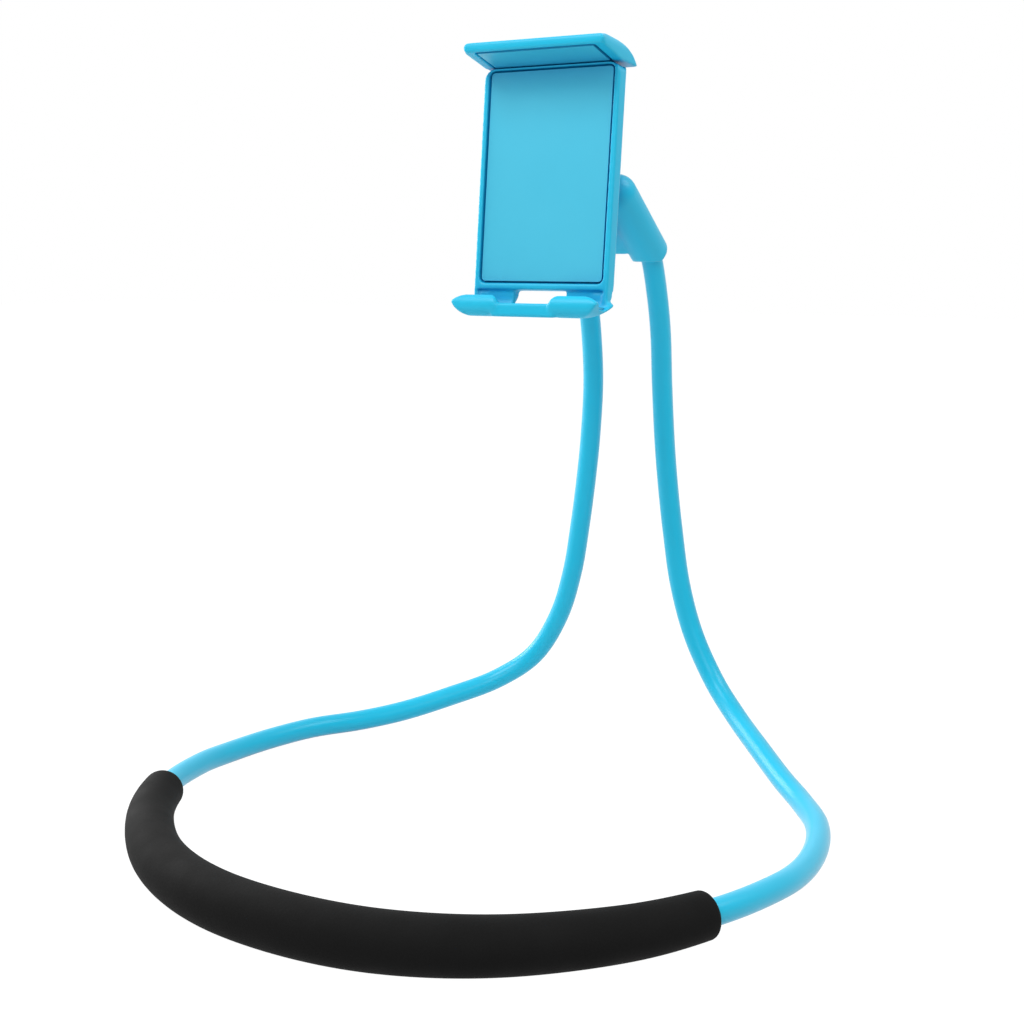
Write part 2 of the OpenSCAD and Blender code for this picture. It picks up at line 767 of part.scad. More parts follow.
// Pins on the back shell that the springs' lower ends hook on
module fixed_spring_pins() {
  color("silver") on_clamp() both_sides() translate([spring_x, bay_front + face_gap, fixed_pin_z])
    rotate([-90, 0, 0]) cylinder(d = pin_d, h = wall_front - bay_front - face_gap);
}

// Pins on the slider that the springs' upper ends hook on
module moving_spring_pins() {
  color("silver") on_clamp() both_sides() translate([spring_x, slider_back, pin_z])
    rotate([-90, 0, 0]) cylinder(d = pin_d, h = spring_bay - face_gap);
}

// Each spring is a close coil with a hook over a pin at each end
module return_springs() {
  hook_r = pin_d / 2 + run_gap;
  body_top = pin_z - 2 * pin_d;
  body_bottom = fixed_pin_z + 2 * pin_d;
  body_l = body_top - body_bottom;
  tail_l = 2 * pin_d - hook_r + wire_d;
  color("silver") on_clamp() both_sides() translate([spring_x, spring_y, 0]) {
    translate([0, 0, body_bottom]) difference() {
      cylinder(d = spring_d, h = body_l);
      translate([0, 0, wire_d]) cylinder(d = spring_d - 2 * wire_d, h = body_l - 2 * wire_d);
    }
    for (z = [pin_z, fixed_pin_z]) translate([0, 0, z]) rotate([90, 0, 0])
      rotate_extrude() translate([hook_r + wire_d / 2, 0]) circle(d = wire_d, $fn = 16);
    for (z = [body_top - wire_d, fixed_pin_z + hook_r]) translate([0, 0, z])
      cylinder(d = wire_d, h = tail_l, $fn = 16);
  }
}

// The jaw's side view is cut from one circle through its lip, crown and rear
jaw_base = frame_top + face_gap;
jaw_overhang = 0.5;
jaw_w = frame_w + 2 * jaw_overhang;
crown_y = -5;
crown_drop = jaw_h - jaw_rear_rise;
crown_run = jaw_rear - crown_y;
crown_r = arc_r(crown_run, crown_drop);
crown_centre = [crown_y, frame_top + jaw_h - crown_r];
lip_z = jaw_base + jaw_slope;
lip_back = jaw_lip_t - jaw_reach;

module jaw_outline(inset) {
  intersection() {
    translate(crown_centre) circle(crown_r - inset, $fn = 96);
    polygon([
      [lip_back, lip_z], [0, jaw_base], [jaw_rear, jaw_base],
      [jaw_rear, crown_centre[1] + crown_r], [lip_back, crown_centre[1] + crown_r]
    ]);
  }
}

module upper_jaw() {
  inner_half = jaw_w / 2 - jaw_round;
  color(body_color) on_clamp() {
    difference() {
      union() {
        intersection() {
          across(-jaw_w / 2, jaw_w / 2) jaw_outline(0);
          slab(jaw_w, jaw_base - jaw_h, frame_top + jaw_h, -jaw_reach, jaw_rear + over, jaw_round);
        }
        intersection() {
          across(-jaw_w / 2, jaw_w / 2) translate([-jaw_reach, lip_z])
            rounded_rect(1.5 * jaw_lip_t, jaw_lip_h, 0.7 * jaw_lip_t);
          slab(jaw_w, lip_z, lip_z + jaw_lip_h, -jaw_reach - over, lip_back, 0.98 * jaw_lip_h / 2);
        }
      }
      across(-inner_half, inner_half) intersection() {
        jaw_outline(jaw_wall);
        translate([-jaw_reach, 0]) square([jaw_reach + over, 2 * frame_top]);
      }
    }
    translate([-slider_w / 2, slider_front, frame_top - slider_l])
      cube([slider_w, slider_t, slider_l + jaw_wall]);
  }
}

module upper_jaw_pad() {
  pad_half = jaw_w / 2 - jaw_round - groove;
  color("steelblue") on_clamp() across(-pad_half, pad_half) intersection() {
    jaw_outline(jaw_wall + run_gap);
    polygon([
      [lip_back, lip_z], [0, jaw_base], [0, jaw_base + jaw_pad_t], [lip_back, lip_z + jaw_pad_t]
    ]);
    translate([lip_back + groove, 0]) square([jaw_reach, 2 * frame_top]);
  }
}

foam_sleeve();
ring_sheath();
ring_core();
low_bend_sheaths();
low_bend_cores();
lower_leg_sheaths();
lower_leg_cores();
mid_bend_sheaths();
mid_bend_cores();
upper_leg_sheaths();
upper_leg_cores();
top_bend_sheaths();
top_bend_cores();
leg_end_sheaths();
leg_end_cores();
yoke();
hose_set_screws();
ball_seat();
socket_cap();
ball_stud();
stud_washer();
stud_screw();
front_frame();
face_pad();
left_foot_pad();
right_foot_pad();
back_shell();
housing_screws();
fixed_spring_pins();
return_springs();
upper_jaw();
upper_jaw_pad();
moving_spring_pins();
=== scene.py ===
"""Looks of a gooseneck phone holder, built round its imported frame.

A bendable hose forms a neck ring with a foam sleeve and two legs. A yoke on the
legs carries a ball joint, and a spring clamp on the ball holds the phone. Each
sub-assembly is a class with its sizes in millimetres. The finishes are frozen
dataclasses, named for their material and for how its surface was made.
"""

from __future__ import annotations

import json
import logging
import math
from collections.abc import Callable, Mapping, Sequence
from dataclasses import dataclass
from enum import Enum
from typing import ClassVar

import bmesh
import bpy
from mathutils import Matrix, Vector

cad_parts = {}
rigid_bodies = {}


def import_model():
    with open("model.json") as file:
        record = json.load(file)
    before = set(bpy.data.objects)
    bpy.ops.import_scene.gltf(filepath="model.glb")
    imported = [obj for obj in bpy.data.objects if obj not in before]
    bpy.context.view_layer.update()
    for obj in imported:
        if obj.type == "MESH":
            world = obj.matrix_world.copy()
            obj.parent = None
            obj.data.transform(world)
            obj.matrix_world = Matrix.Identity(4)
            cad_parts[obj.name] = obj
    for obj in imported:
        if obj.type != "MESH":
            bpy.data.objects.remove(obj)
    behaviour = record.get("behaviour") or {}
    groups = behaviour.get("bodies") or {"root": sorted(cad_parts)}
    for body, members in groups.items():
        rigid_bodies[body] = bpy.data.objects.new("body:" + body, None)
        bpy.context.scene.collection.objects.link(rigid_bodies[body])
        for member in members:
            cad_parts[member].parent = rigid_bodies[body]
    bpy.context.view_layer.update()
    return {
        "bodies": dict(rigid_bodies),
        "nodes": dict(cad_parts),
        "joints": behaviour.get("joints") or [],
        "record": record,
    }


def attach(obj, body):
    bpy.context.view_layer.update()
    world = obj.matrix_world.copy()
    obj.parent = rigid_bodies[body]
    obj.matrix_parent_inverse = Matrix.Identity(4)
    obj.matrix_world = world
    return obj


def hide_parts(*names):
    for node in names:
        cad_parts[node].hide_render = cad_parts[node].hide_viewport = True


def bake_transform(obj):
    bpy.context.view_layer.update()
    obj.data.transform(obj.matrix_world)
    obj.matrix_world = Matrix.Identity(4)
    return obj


LOG = logging.getLogger("phone_holder")
MM = 0.001
# Edges turned by more than this many degrees stay sharp to the eye
SHARP_ANGLE = 50
# The sRGB curve: the end and slope of its straight part, the offset and power of the rest
SRGB_KNEE, SRGB_SLOPE, SRGB_OFFSET, SRGB_POWER = 0.04045, 12.92, 0.055, 2.4
X_AXIS = Vector((1, 0, 0))


class Body(Enum):
    """The rigid bodies of the frame that the scene's own pieces ride on."""

    RING = "neck_ring"
    LOWER_LEGS = "lower_legs"
    UPPER_LEGS = "upper_legs"
    YOKE = "yoke_head"
    CLAMP = "clamp"
    JAW = "jaw"


class Slot(Enum):
    """The record's material slots."""

    HOSE = "hose_pvc"
    CORE = "core_aluminium"
    FOAM = "foam_rubber"
    SHELL = "abs_blue"
    PAD = "pad_rubber"
    NYLON = "nylon_white"
    STEEL = "steel"
    BLACK_STEEL = "black_steel"


def linear(hex_colour: str) -> tuple[float, float, float, float]:
    """Turns an sRGB hex colour into linear RGBA.

    Args:
        hex_colour: Six hex digits after a hash.

    Returns:
        The linear colour with an alpha of one.
    """

    def channel(byte: int) -> float:
        """Linear value of one sRGB byte."""
        share = byte / 0xFF
        if share <= SRGB_KNEE:
            return share / SRGB_SLOPE
        return ((share + SRGB_OFFSET) / (1 + SRGB_OFFSET)) ** SRGB_POWER

    red, green, blue = (int(hex_colour[i : i + 2], 16) for i in (1, 3, 5))
    return channel(red), channel(green), channel(blue), 1.0


def add_node(
    tree: bpy.types.NodeTree,
    kind: str,
    inputs: Mapping[str | int, object] | None = None,
    **settings: object,
) -> bpy.types.Node:
    """Adds a node with its settings, input values and links.

    Args:
        tree: The node tree that gets the node.
        kind: The node's type, without the leading "ShaderNode".
        inputs: Values or output sockets for inputs, by name or index.
        **settings: Properties of the node.

    Returns:
        The new node.
    """
    node = tree.nodes.new(f"ShaderNode{kind}")
    for name, value in settings.items():
        setattr(node, name, value)
    for key, value in (inputs or {}).items():
        if isinstance(value, bpy.types.NodeSocket):
            tree.links.new(value, node.inputs[key])
        else:
            node.inputs[key].default_value = value
    return node


@dataclass(frozen=True)
class GrainedFinish:
    """A surface with a mottled colour, an uneven roughness and a fine grain, and with shade painted where
    other surfaces are near.

    Attributes:
        name: The real material and how its surface was made.
        light: Colour where it is lightest, as sRGB hex.
        dark: Colour where it is darkest, as sRGB hex.
        roughness: Lowest and highest roughness.
        ior: Index of refraction.
        metallic: One for a metal and zero otherwise.
        mottle_mm: Size of the colour's variation.
        grain_mm: Size of the surface's grain.
        grain_depth_mm: Height of the grain.
        stretch: How much shorter the grain is along X, Y and Z.
        specular: Strength of the reflection; one half is what the IOR gives.
        sheen: Amount of soft light at grazing angles.
        pores: Whether the grain is of round dents instead of fine noise.
        painted_shade: Colour of the shade painted deep in narrow gaps and under overhangs, as sRGB hex,
            or nothing for no painted shade.
        painted_shade_mm: How near a surface must be for shade to be painted on another.
    """

    name: str
    light: str
    dark: str
    roughness: tuple[float, float]
    ior: float = 1.5
    metallic: float = 0.0
    mottle_mm: float = 20.0
    grain_mm: float = 0.5
    grain_depth_mm: float = 0.02
    stretch: tuple[float, float, float] = (1.0, 1.0, 1.0)
    specular: float = 0.5
    sheen: float = 0.0
    pores: bool = False
    # Painted shade: a darker colour laid where other surfaces are near
    painted_shade: str = ""
    painted_shade_mm: float = 14.0

    # Sockets of the Mix node when it mixes colours
    MIX_FACTOR: ClassVar[int] = 0
    MIX_A: ClassVar[int] = 6
    MIX_B: ClassVar[int] = 7
    MIX_COLOUR: ClassVar[int] = 2
    # Share of open space over a point at which the painted shade is full, and at which it ends
    PAINTED_SHADE_OPEN: ClassVar[tuple[float, float]] = (0.3, 0.97)
    PAINTED_SHADE_SAMPLES: ClassVar[int] = 8
    # Range of the mottle's noise that takes the roughness from its lowest to its highest
    MOTTLE_RANGE: ClassVar[tuple[float, float]] = (0.3, 0.7)
    MOTTLE_DETAIL: ClassVar[float] = 3.0
    GRAIN_DETAIL: ClassVar[float] = 4.0

    def mixed(
        self, tree: bpy.types.NodeTree, share: bpy.types.NodeSocket, low: object, high: object
    ) -> bpy.types.NodeSocket:
        """Mixes two colours.

        Args:
            tree: The material's node tree.
            share: How much of the second colour there is.
            low: The first colour, or the socket that gives it.
            high: The second colour, or the socket that gives it.

        Returns:
            The socket of the mixed colour.
        """
        inputs = {self.MIX_FACTOR: share, self.MIX_A: low, self.MIX_B: high}
        return add_node(tree, "Mix", inputs, data_type="RGBA").outputs[self.MIX_COLOUR]

    def grain(self, tree: bpy.types.NodeTree, place: bpy.types.NodeSocket) -> bpy.types.NodeSocket:
        """The normal of the surface with its grain or pores.

        Args:
            tree: The material's node tree.
            place: The place on the object.

        Returns:
            The normal's socket.
        """
        scaled = add_node(tree, "Mapping", {"Vector": place, "Scale": self.stretch}).outputs[0]
        inputs = {"Vector": scaled, "Scale": 1 / (self.grain_mm * MM)}
        if self.pores:
            height = add_node(tree, "TexVoronoi", inputs).outputs["Distance"]
        else:
            inputs["Detail"] = self.GRAIN_DETAIL
            height = add_node(tree, "TexNoise", inputs).outputs["Fac"]
        return add_node(
            tree, "Bump", {"Height": height, "Strength": 1.0, "Distance": self.grain_depth_mm * MM}
        ).outputs["Normal"]

    def colour(self, tree: bpy.types.NodeTree, mottle: bpy.types.NodeSocket) -> bpy.types.NodeSocket:
        """The mottled colour, with shade painted in narrow gaps and under overhangs.

        Args:
            tree: The material's node tree.
            mottle: The mottle's noise.

        Returns:
            The colour's socket.
        """
        plain = self.mixed(tree, mottle, linear(self.dark), linear(self.light))
        if not self.painted_shade:
            return plain
        # Painted shade: the colour goes darker where other surfaces are near, in gaps and under overhangs
        openness = add_node(
            tree,
            "AmbientOcclusion",
            {"Distance": self.painted_shade_mm * MM},
            samples=self.PAINTED_SHADE_SAMPLES,
        ).outputs["AO"]
        full, none = self.PAINTED_SHADE_OPEN
        share = add_node(tree, "MapRange", {"Value": openness, "From Min": full, "From Max": none})
        return self.mixed(tree, share.outputs["Result"], linear(self.painted_shade), plain)

    def material(self) -> bpy.types.Material:
        """Builds the material, or returns the one that exists."""
        found = bpy.data.materials.get(self.name)
        if found is not None:
            return found
        made = bpy.data.materials.new(self.name)
        made.use_nodes = True
        tree = made.node_tree
        tree.nodes.clear()
        place = add_node(tree, "TexCoord").outputs["Object"]
        mottle = add_node(
            tree,
            "TexNoise",
            {"Vector": place, "Scale": 1 / (self.mottle_mm * MM), "Detail": self.MOTTLE_DETAIL},
        ).outputs["Fac"]
        shine = add_node(
            tree,
            "MapRange",
            {
                "Value": mottle,
                "From Min": self.MOTTLE_RANGE[0],
                "From Max": self.MOTTLE_RANGE[1],
                "To Min": self.roughness[0],
                "To Max": self.roughness[1],
            },
        ).outputs["Result"]
        shader = add_node(
            tree,
            "BsdfPrincipled",
            {
                "Base Color": self.colour(tree, mottle),
                "Roughness": shine,
                "Normal": self.grain(tree, place),
                "Metallic": self.metallic,
                "Specular IOR Level": self.specular,
                "Sheen Weight": self.sheen,
            },
        )
        if not self.metallic:
            shader.inputs["IOR"].default_value = self.ior
        add_node(tree, "OutputMaterial", {"Surface": shader.outputs["BSDF"]})
        return made


# Moulded ABS: an even satin skin that washes out to white where it mirrors the lamps, with a faint
# spark-eroded grain drawn a quarter of a millimetre wide, and a darker blue shade painted in its gaps and
# under overhangs
SATIN_ABS = GrainedFinish(
    "moulded_abs_sky_blue", "#22b9dc", "#18b3d8", (0.36, 0.44), ior=1.53, grain_mm=0.25,
    # The darker blue is painted shade, laid where other surfaces are near
    grain_depth_mm=0.006, specular=0.25, painted_shade="#0c8ac0",
)
# Extruded PVC: deeper in colour than the mouldings, with long highlights along its edges
HOSE_PVC = GrainedFinish(
    "extruded_pvc_sky_blue", "#10b8dc", "#0cb4d8", (0.28, 0.34), ior=1.53, mottle_mm=30, grain_mm=0.8,
    grain_depth_mm=0.003, specular=0.25, sheen=0.2,
)
# Moulded silicone rubber: the same blue, chalkier, without a sharp highlight, with a darker blue shade
# painted in its gaps and under overhangs
PAD_RUBBER = GrainedFinish(
    "moulded_silicone_sky_blue", "#38b6d4", "#33b2d1", (0.42, 0.48), ior=1.41, grain_mm=0.3,
    # The darker blue is painted shade, laid where other surfaces are near
    grain_depth_mm=0.008, specular=0.9, painted_shade="#0c8ac0",
)
# Closed-cell NBR foam: matte black that hardly mirrors, with a skin of tiny dents drawn almost a
# millimetre wide to show
FOAM_RUBBER = GrainedFinish(
    "extruded_nbr_foam_black", "#101010", "#0b0b0b", (0.74, 0.84), ior=1.5, mottle_mm=12, grain_mm=0.9,
    grain_depth_mm=0.025, specular=0.1, pores=True,
)
# Moulded nylon: milky, slightly waxy
NYLON = GrainedFinish(
    "moulded_nylon_natural", "#e4e3dc", "#dcdad2", (0.35, 0.5), ior=1.53, grain_mm=0.3,
    grain_depth_mm=0.005,
)
# Zinc-plated steel: a cool grey metal with fine drawing marks
ZINC_STEEL = GrainedFinish(
    "zinc_plated_steel", "#b9bcc0", "#a7abb0", (0.25, 0.4), metallic=1.0, grain_mm=0.15,
    grain_depth_mm=0.003, stretch=(1, 1, 0.2),
)
# Black-oxide steel: dark, oily metal
BLACK_STEEL = GrainedFinish(
    "black_oxide_steel", "#3a3b3d", "#2b2c2e", (0.35, 0.5), metallic=1.0, grain_mm=0.2,
    grain_depth_mm=0.003,
)
# Drawn aluminium wire: soft grey metal
CORE_WIRE = GrainedFinish(
    "drawn_aluminium_wire", "#cfd1d3", "#bfc2c4", (0.3, 0.45), metallic=1.0, grain_mm=0.2,
    grain_depth_mm=0.003,
)

SLOT_FINISH: dict[Slot, GrainedFinish] = {
    Slot.HOSE: HOSE_PVC,
    Slot.CORE: CORE_WIRE,
    Slot.FOAM: FOAM_RUBBER,
    Slot.SHELL: SATIN_ABS,
    Slot.PAD: PAD_RUBBER,
    Slot.NYLON: NYLON,
    Slot.STEEL: ZINC_STEEL,
    Slot.BLACK_STEEL: BLACK_STEEL,
}


def new_piece(
    name: str, points: Sequence[Vector], faces: Sequence[Sequence[int]], slot: Slot
) -> bpy.types.Object:
    """Makes a smooth-shaded piece from points in metres in the row frame.

    Args:
        name: The piece's name.
        points: Its vertices.
        faces: Its faces, as indices into points.
        slot: The material slot that it takes its finish from.

    Returns:
        The new object.
    """
    mesh = bpy.data.meshes.new(name)
    mesh.from_pydata([tuple(p) for p in points], [], [tuple(f) for f in faces])
    mesh.validate()
    work = bmesh.new()
    work.from_mesh(mesh)
    bmesh.ops.recalc_face_normals(work, faces=work.faces)
    work.to_mesh(mesh)
    work.free()
    mesh.shade_smooth()
    mesh.set_sharp_from_angle(angle=math.radians(SHARP_ANGLE))
    piece = bpy.data.objects.new(name, mesh)
    bpy.context.scene.collection.objects.link(piece)
    mesh.materials.append(SLOT_FINISH[slot].material())
    LOG.info("made %s with %d faces", name, len(mesh.polygons))
    return piece


def loft(
    rings: Sequence[Sequence[Vector]], capped: bool = True
) -> tuple[list[Vector], list[list[int]]]:
    """Joins rings of equal count into a skin.

    Args:
        rings: The rings, in order.
        capped: Whether the first and last ring are closed.

    Returns:
        The points and the faces.
    """
    count = len(rings[0])
    points = [p for ring in rings for p in ring]
    faces = []
    for start in range(0, len(points) - count, count):
        for k in range(count):
            near, far = start + k, start + (k + 1) % count
            faces.append([near, far, far + count, near + count])
    if capped:
        faces.append(list(range(count - 1, -1, -1)))
        faces.append([len(points) - count + k for k in range(count)])
    return points, faces


@dataclass(frozen=True)
class Route:
    """The middle line of the hose, symmetric about X = 0, in millimetres.

    Attributes:
        hose_r: Radius of the hose.
        half_w: Half the ring's width between the middles of its sides.
        ring_l: Length of the ring between the middles of its ends.
        neck_h: Height of the yoke's sleeve mouths.
        leg_x: Half the distance between the legs at the yoke.
        foam_r: Radius of the foam in the middle.
        flats: Depth of the flats where the hose and the foam lie on the table.
        exit_in: Distance of the sleeve mouths in front of the legs.
        insert_l: Depth of the hose in the sleeve.
        bore_lean: Lean of the sleeve's bore, in degrees.
    """

    hose_r: float = 4.0
    half_w: float = 114.0
    ring_l: float = 226.0
    neck_h: float = 193.3
    leg_x: float = 15.0
    foam_r: float = 8.8
    flats: tuple[float, float] = (0.1, 0.4)
    exit_in: float = 13.4
    insert_l: float = 15.0
    bore_lean: float = 43.0

    # The route's points on the ring and on a leg, as shares of the sizes above: how far out, how
    # far forward, and how far from the foam's height to the hose's, or from there to the yoke's
    RING_SHARES: ClassVar[tuple[tuple[float, ...], ...]] = (
        (0, 1, 0), (0.28, 0.981, 0.02), (0.54, 0.918, 0.08), (0.77, 0.811, 0.15),
        (0.912, 0.697, 0.22), (0.983, 0.581, 0.54), (1, 0.488, 0.88),
        (0.98, 0.395, 1), (0.925, 0.31, 1), (0.83, 0.235, 1),
    )
    LEG_SHARES: ClassVar[tuple[tuple[float, ...], ...]] = (
        (0.678, 0.174, 0.012), (0.54, 0.112, 0.036), (0.39, 0.05, 0.069),
        (0.257, 0.011, 0.124), (0.154, 0.001, 0.215), (0.092, 0, 0.317),
        (0.057, 0, 0.423), (0.03, 0, 0.529), (0.012, 0, 0.624),
        (0, 0.002, 0.735), (0, 0.012, 0.841), (0, 0.0315, 0.927),
    )
    # Half the stretch that the curve's direction is taken over
    HEADING_STEP: ClassVar[float] = 0.02
    # Where along the route the rings' first point starts to turn outwards, and over how long
    TURN_START: ClassVar[float] = 9.0
    TURN_RUN: ClassVar[float] = 6.0
    # A height that every ring stays over, for one that isn't flattened
    NO_TABLE: ClassVar[float] = -1.0

    @property
    def y_front(self) -> float:
        """Depth of the middle of the hose at the ring's front."""
        return (self.foam_r - self.ring_l - self.hose_r) / 2

    @property
    def exit_point(self) -> Vector:
        """Middle of the right sleeve's mouth."""
        return Vector((self.leg_x, self.y_front + self.ring_l - self.exit_in, self.neck_h))

    @property
    def bore_dir(self) -> Vector:
        """Direction of the hose in the sleeve."""
        lean = math.radians(self.bore_lean)
        return Vector((0, -math.cos(lean), math.sin(lean)))

    def points(self) -> list[Vector]:
        """Places the route's own points.

        Returns:
            The points, from the front of the ring to the right sleeve.
        """
        y_back = self.y_front + self.ring_l
        z_hose = self.hose_r - self.flats[0]
        z_foam = self.foam_r - self.flats[1]
        ring = [
            Vector((s[0] * self.half_w, y_back - s[1] * self.ring_l, z_foam + s[2] * (z_hose - z_foam)))
            for s in self.RING_SHARES
        ]
        legs = [
            Vector(
                (
                    self.leg_x + s[0] * (self.half_w - self.leg_x),
                    y_back - s[1] * self.ring_l,
                    z_hose + s[2] * (self.neck_h - z_hose),
                )
            )
            for s in self.LEG_SHARES
        ]
        return [*ring, *legs, self.exit_point, self.exit_point + self.insert_l * self.bore_dir]

    def at(self, t: float) -> Vector:
        """The smooth curve through the points.

        Args:
            t: The place, counted in points; below zero it is on the left.

        Returns:
            The point, in millimetres.
        """
        if t < 0:
            mirrored = self.at(-t)
            return Vector((-mirrored.x, mirrored.y, mirrored.z))
        row = self.points()
        last = len(row) - 1
        i = min(math.floor(t), last - 1)
        if i == last - 1:
            return row[i] + (t - i) * (row[last] - row[i])

        def near(k: int) -> Vector:
            """A point of the row, mirrored past the ring's front."""
            return Vector((-row[-k].x, row[-k].y, row[-k].z)) if k < 0 else row[k]

        a, b, c, d = (near(k) for k in (i - 1, i, i + 1, i + 2))
        u = t - i
        # The Catmull-Rom spline's own weights
        square = 2 * a - 5 * b + 4 * c - d
        cube = 3 * b - a - 3 * c + d
        return 0.5 * (2 * b + (c - a) * u + square * u * u + cube * u * u * u)

    def heading(self, t: float) -> Vector:
        """Unit direction of the curve at a place."""
        return (self.at(t + self.HEADING_STEP) - self.at(t - self.HEADING_STEP)).normalized()

    def ring(self, t: float, radius: float, sides: int, table: float = 0.0) -> list[Vector]:
        """A ring of points round the curve, flattened where it meets the table.

        Args:
            t: The place along the curve.
            radius: The ring's radius, in millimetres.
            sides: How many points it has.
            table: Lowest height that a point may have.

        Returns:
            The points, in metres.
        """
        middle, ahead = self.at(t), self.heading(t)
        share = max(0.0, min(1.0, (abs(t) - self.TURN_START) / self.TURN_RUN))
        guide = Vector((math.copysign(share, t) if share else 0.0, 0, 1 - share))
        side = (guide - guide.dot(ahead) * ahead).normalized()
        other = ahead.cross(side)
        made = []
        for k in range(sides):
            angle = 2 * math.pi * k / sides
            p = middle + radius * (math.cos(angle) * side + math.sin(angle) * other)
            p.z = max(p.z, table)
            made.append(p * MM)
        return made


ROUTE = Route()


def span(t0: float, t1: float, per_point: int) -> list[float]:
    """Even places from t0 to t1 along the route, with per_point of them to a stretch."""
    count = max(1, round((t1 - t0) * per_point))
    return [t0 + (t1 - t0) * k / count for k in range(count + 1)]


@dataclass(frozen=True)
class Stretch:
    """A stretch of hose round one joint.

    Attributes:
        name: Its name.
        start: Where it starts along the route.
        stop: Where it stops.
        bend: Where its bend starts and stops.
        bodies: The bodies before and after the bend; not used.
        sheaths: The sheath nodes that it stands for.
        cores: The core nodes that it stands for.
    """

    name: str
    start: float
    stop: float
    bend: tuple[float, float]
    bodies: tuple[Body, Body]
    sheaths: tuple[str, ...]
    cores: tuple[str, ...]


@dataclass
class Gooseneck:
    """The bendable hose: a sheath over a wire, in stretches that meet on the legs.

    Attributes:
        sheath_sides: How many sides the sheath has.
        core_sides: How many sides the wire has.
        core_r: Radius of the wire.
        per_point: How many rings there are from one point of the route to the next.
    """

    sheath_sides: int = 32
    core_sides: int = 12
    core_r: float = 2.5
    per_point: int = 8

    STRETCHES: ClassVar[tuple[Stretch, ...]] = (
        Stretch(
            "hose_ring", -15.5, 15.5, (11.6, 14.3), (Body.RING, Body.LOWER_LEGS),
            ("ring_sheath", "low_bend_sheaths"), ("ring_core", "low_bend_cores"),
        ),
        Stretch(
            "hose_legs", 15.5, 19, (16.3, 18.65), (Body.LOWER_LEGS, Body.UPPER_LEGS),
            ("lower_leg_sheaths", "mid_bend_sheaths"), ("lower_leg_cores", "mid_bend_cores"),
        ),
        Stretch(
            "hose_tops", 19, 23, (19.6, 21.7), (Body.UPPER_LEGS, Body.YOKE),
            ("upper_leg_sheaths", "top_bend_sheaths", "leg_end_sheaths"),
            ("upper_leg_cores", "top_bend_cores", "leg_end_cores"),
        ),
    )

    def layer(
        self, stretch: Stretch, kind: str, radius: float, sides: int, nodes: Sequence[str], slot: Slot
    ) -> None:
        """Builds one stretch's sheath or core, on both legs where it is above the ring.

        Args:
            stretch: The stretch.
            kind: What it is, for its name.
            radius: Its radius, in millimetres.
            sides: How many sides it has.
            nodes: The nodes that it stands for.
            slot: Its material slot.
        """
        points: list[Vector] = []
        faces: list[list[int]] = []
        runs = [(stretch.start, stretch.stop)]
        if stretch.start > 0:
            runs.append((-stretch.stop, -stretch.start))
        for run in runs:
            rings = [ROUTE.ring(t, radius, sides) for t in span(*run, self.per_point)]
            skin, sheets = loft(rings)
            faces += [[i + len(points) for i in sheet] for sheet in sheets]
            points += skin
        piece = new_piece(f"{stretch.name}_{kind}", points, faces, slot)
        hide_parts(*nodes)
        low, high = (ROUTE.at(t) for t in stretch.bend)
        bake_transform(piece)

    def build(self) -> None:
        """Builds every stretch's sheath and core."""
        for stretch in self.STRETCHES:
            sheath, core = (ROUTE.hose_r, self.sheath_sides), (self.core_r, self.core_sides)
            self.layer(stretch, "sheath", *sheath, stretch.sheaths, Slot.HOSE)
            self.layer(stretch, "core", *core, stretch.cores, Slot.CORE)


@dataclass
class FoamSleeve:
    """The foam sleeve round the front of the ring, slimmer at its ends.

    Attributes:
        end_t: Where along the route its right end is.
        end_r: Its outer radius there.
        edge: Radius of its rounded edges.
        gap: Space between its bore and the hose.
        sides: How many sides it has.
        per_point: How many rings its outside has from one point of the route to the next.
        bore_per_point: How many its bore has.
        edge_steps: How many stretches a rounded edge is drawn with.
    """

    end_t: float = 3.9
    end_r: float = 7.1
    edge: float = 1.5
    gap: float = 0.15
    sides: int = 48
    per_point: int = 14
    bore_per_point: int = 4
    edge_steps: int = 5

    def radius(self, t: float) -> float:
        """Outer radius at a place along the route."""
        return ROUTE.foam_r + (self.end_r - ROUTE.foam_r) * (abs(t) / self.end_t) ** 2

    def outline(self) -> list[tuple[float, float]]:
        """Works out the outside, with its rounded edges.

        Returns:
            Places along the route, each with how far the surface is drawn in there.
        """
        stretch = (ROUTE.at(self.end_t) - ROUTE.at(self.end_t - 1)).length
        inset = self.edge / stretch
        outer = []
        for k in range(self.edge_steps, -1, -1):
            angle = math.pi / 2 * k / self.edge_steps
            outer.append((-self.end_t + inset * (1 - math.sin(angle)), self.edge * (1 - math.cos(angle))))
        straight = span(inset - self.end_t, self.end_t - inset, self.per_point)
        outer += [(t, 0.0) for t in straight[1:-1]]
        outer += [(-t, drawn) for t, drawn in reversed(outer[: self.edge_steps + 1])]
        return outer

    def build(self) -> None:
        """Builds the sleeve as a tube with rounded ends."""
        rings = [ROUTE.ring(t, self.radius(t) - drawn, self.sides) for t, drawn in self.outline()]
        bore = ROUTE.hose_r + self.gap
        inside = span(-self.end_t, self.end_t, self.bore_per_point)
        rings += [ROUTE.ring(t, bore, self.sides, ROUTE.NO_TABLE) for t in reversed(inside)]
        points, faces = loft([*rings, rings[0]], capped=False)
        count = len(rings[0])
        wrap = len(rings) * count
        faces = [[i - wrap if i >= wrap else i for i in face] for face in faces]
        piece = new_piece("foam_sleeve_skin", points[:wrap], faces, Slot.FOAM)
        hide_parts("foam_sleeve")
        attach(piece, Body.RING.value)


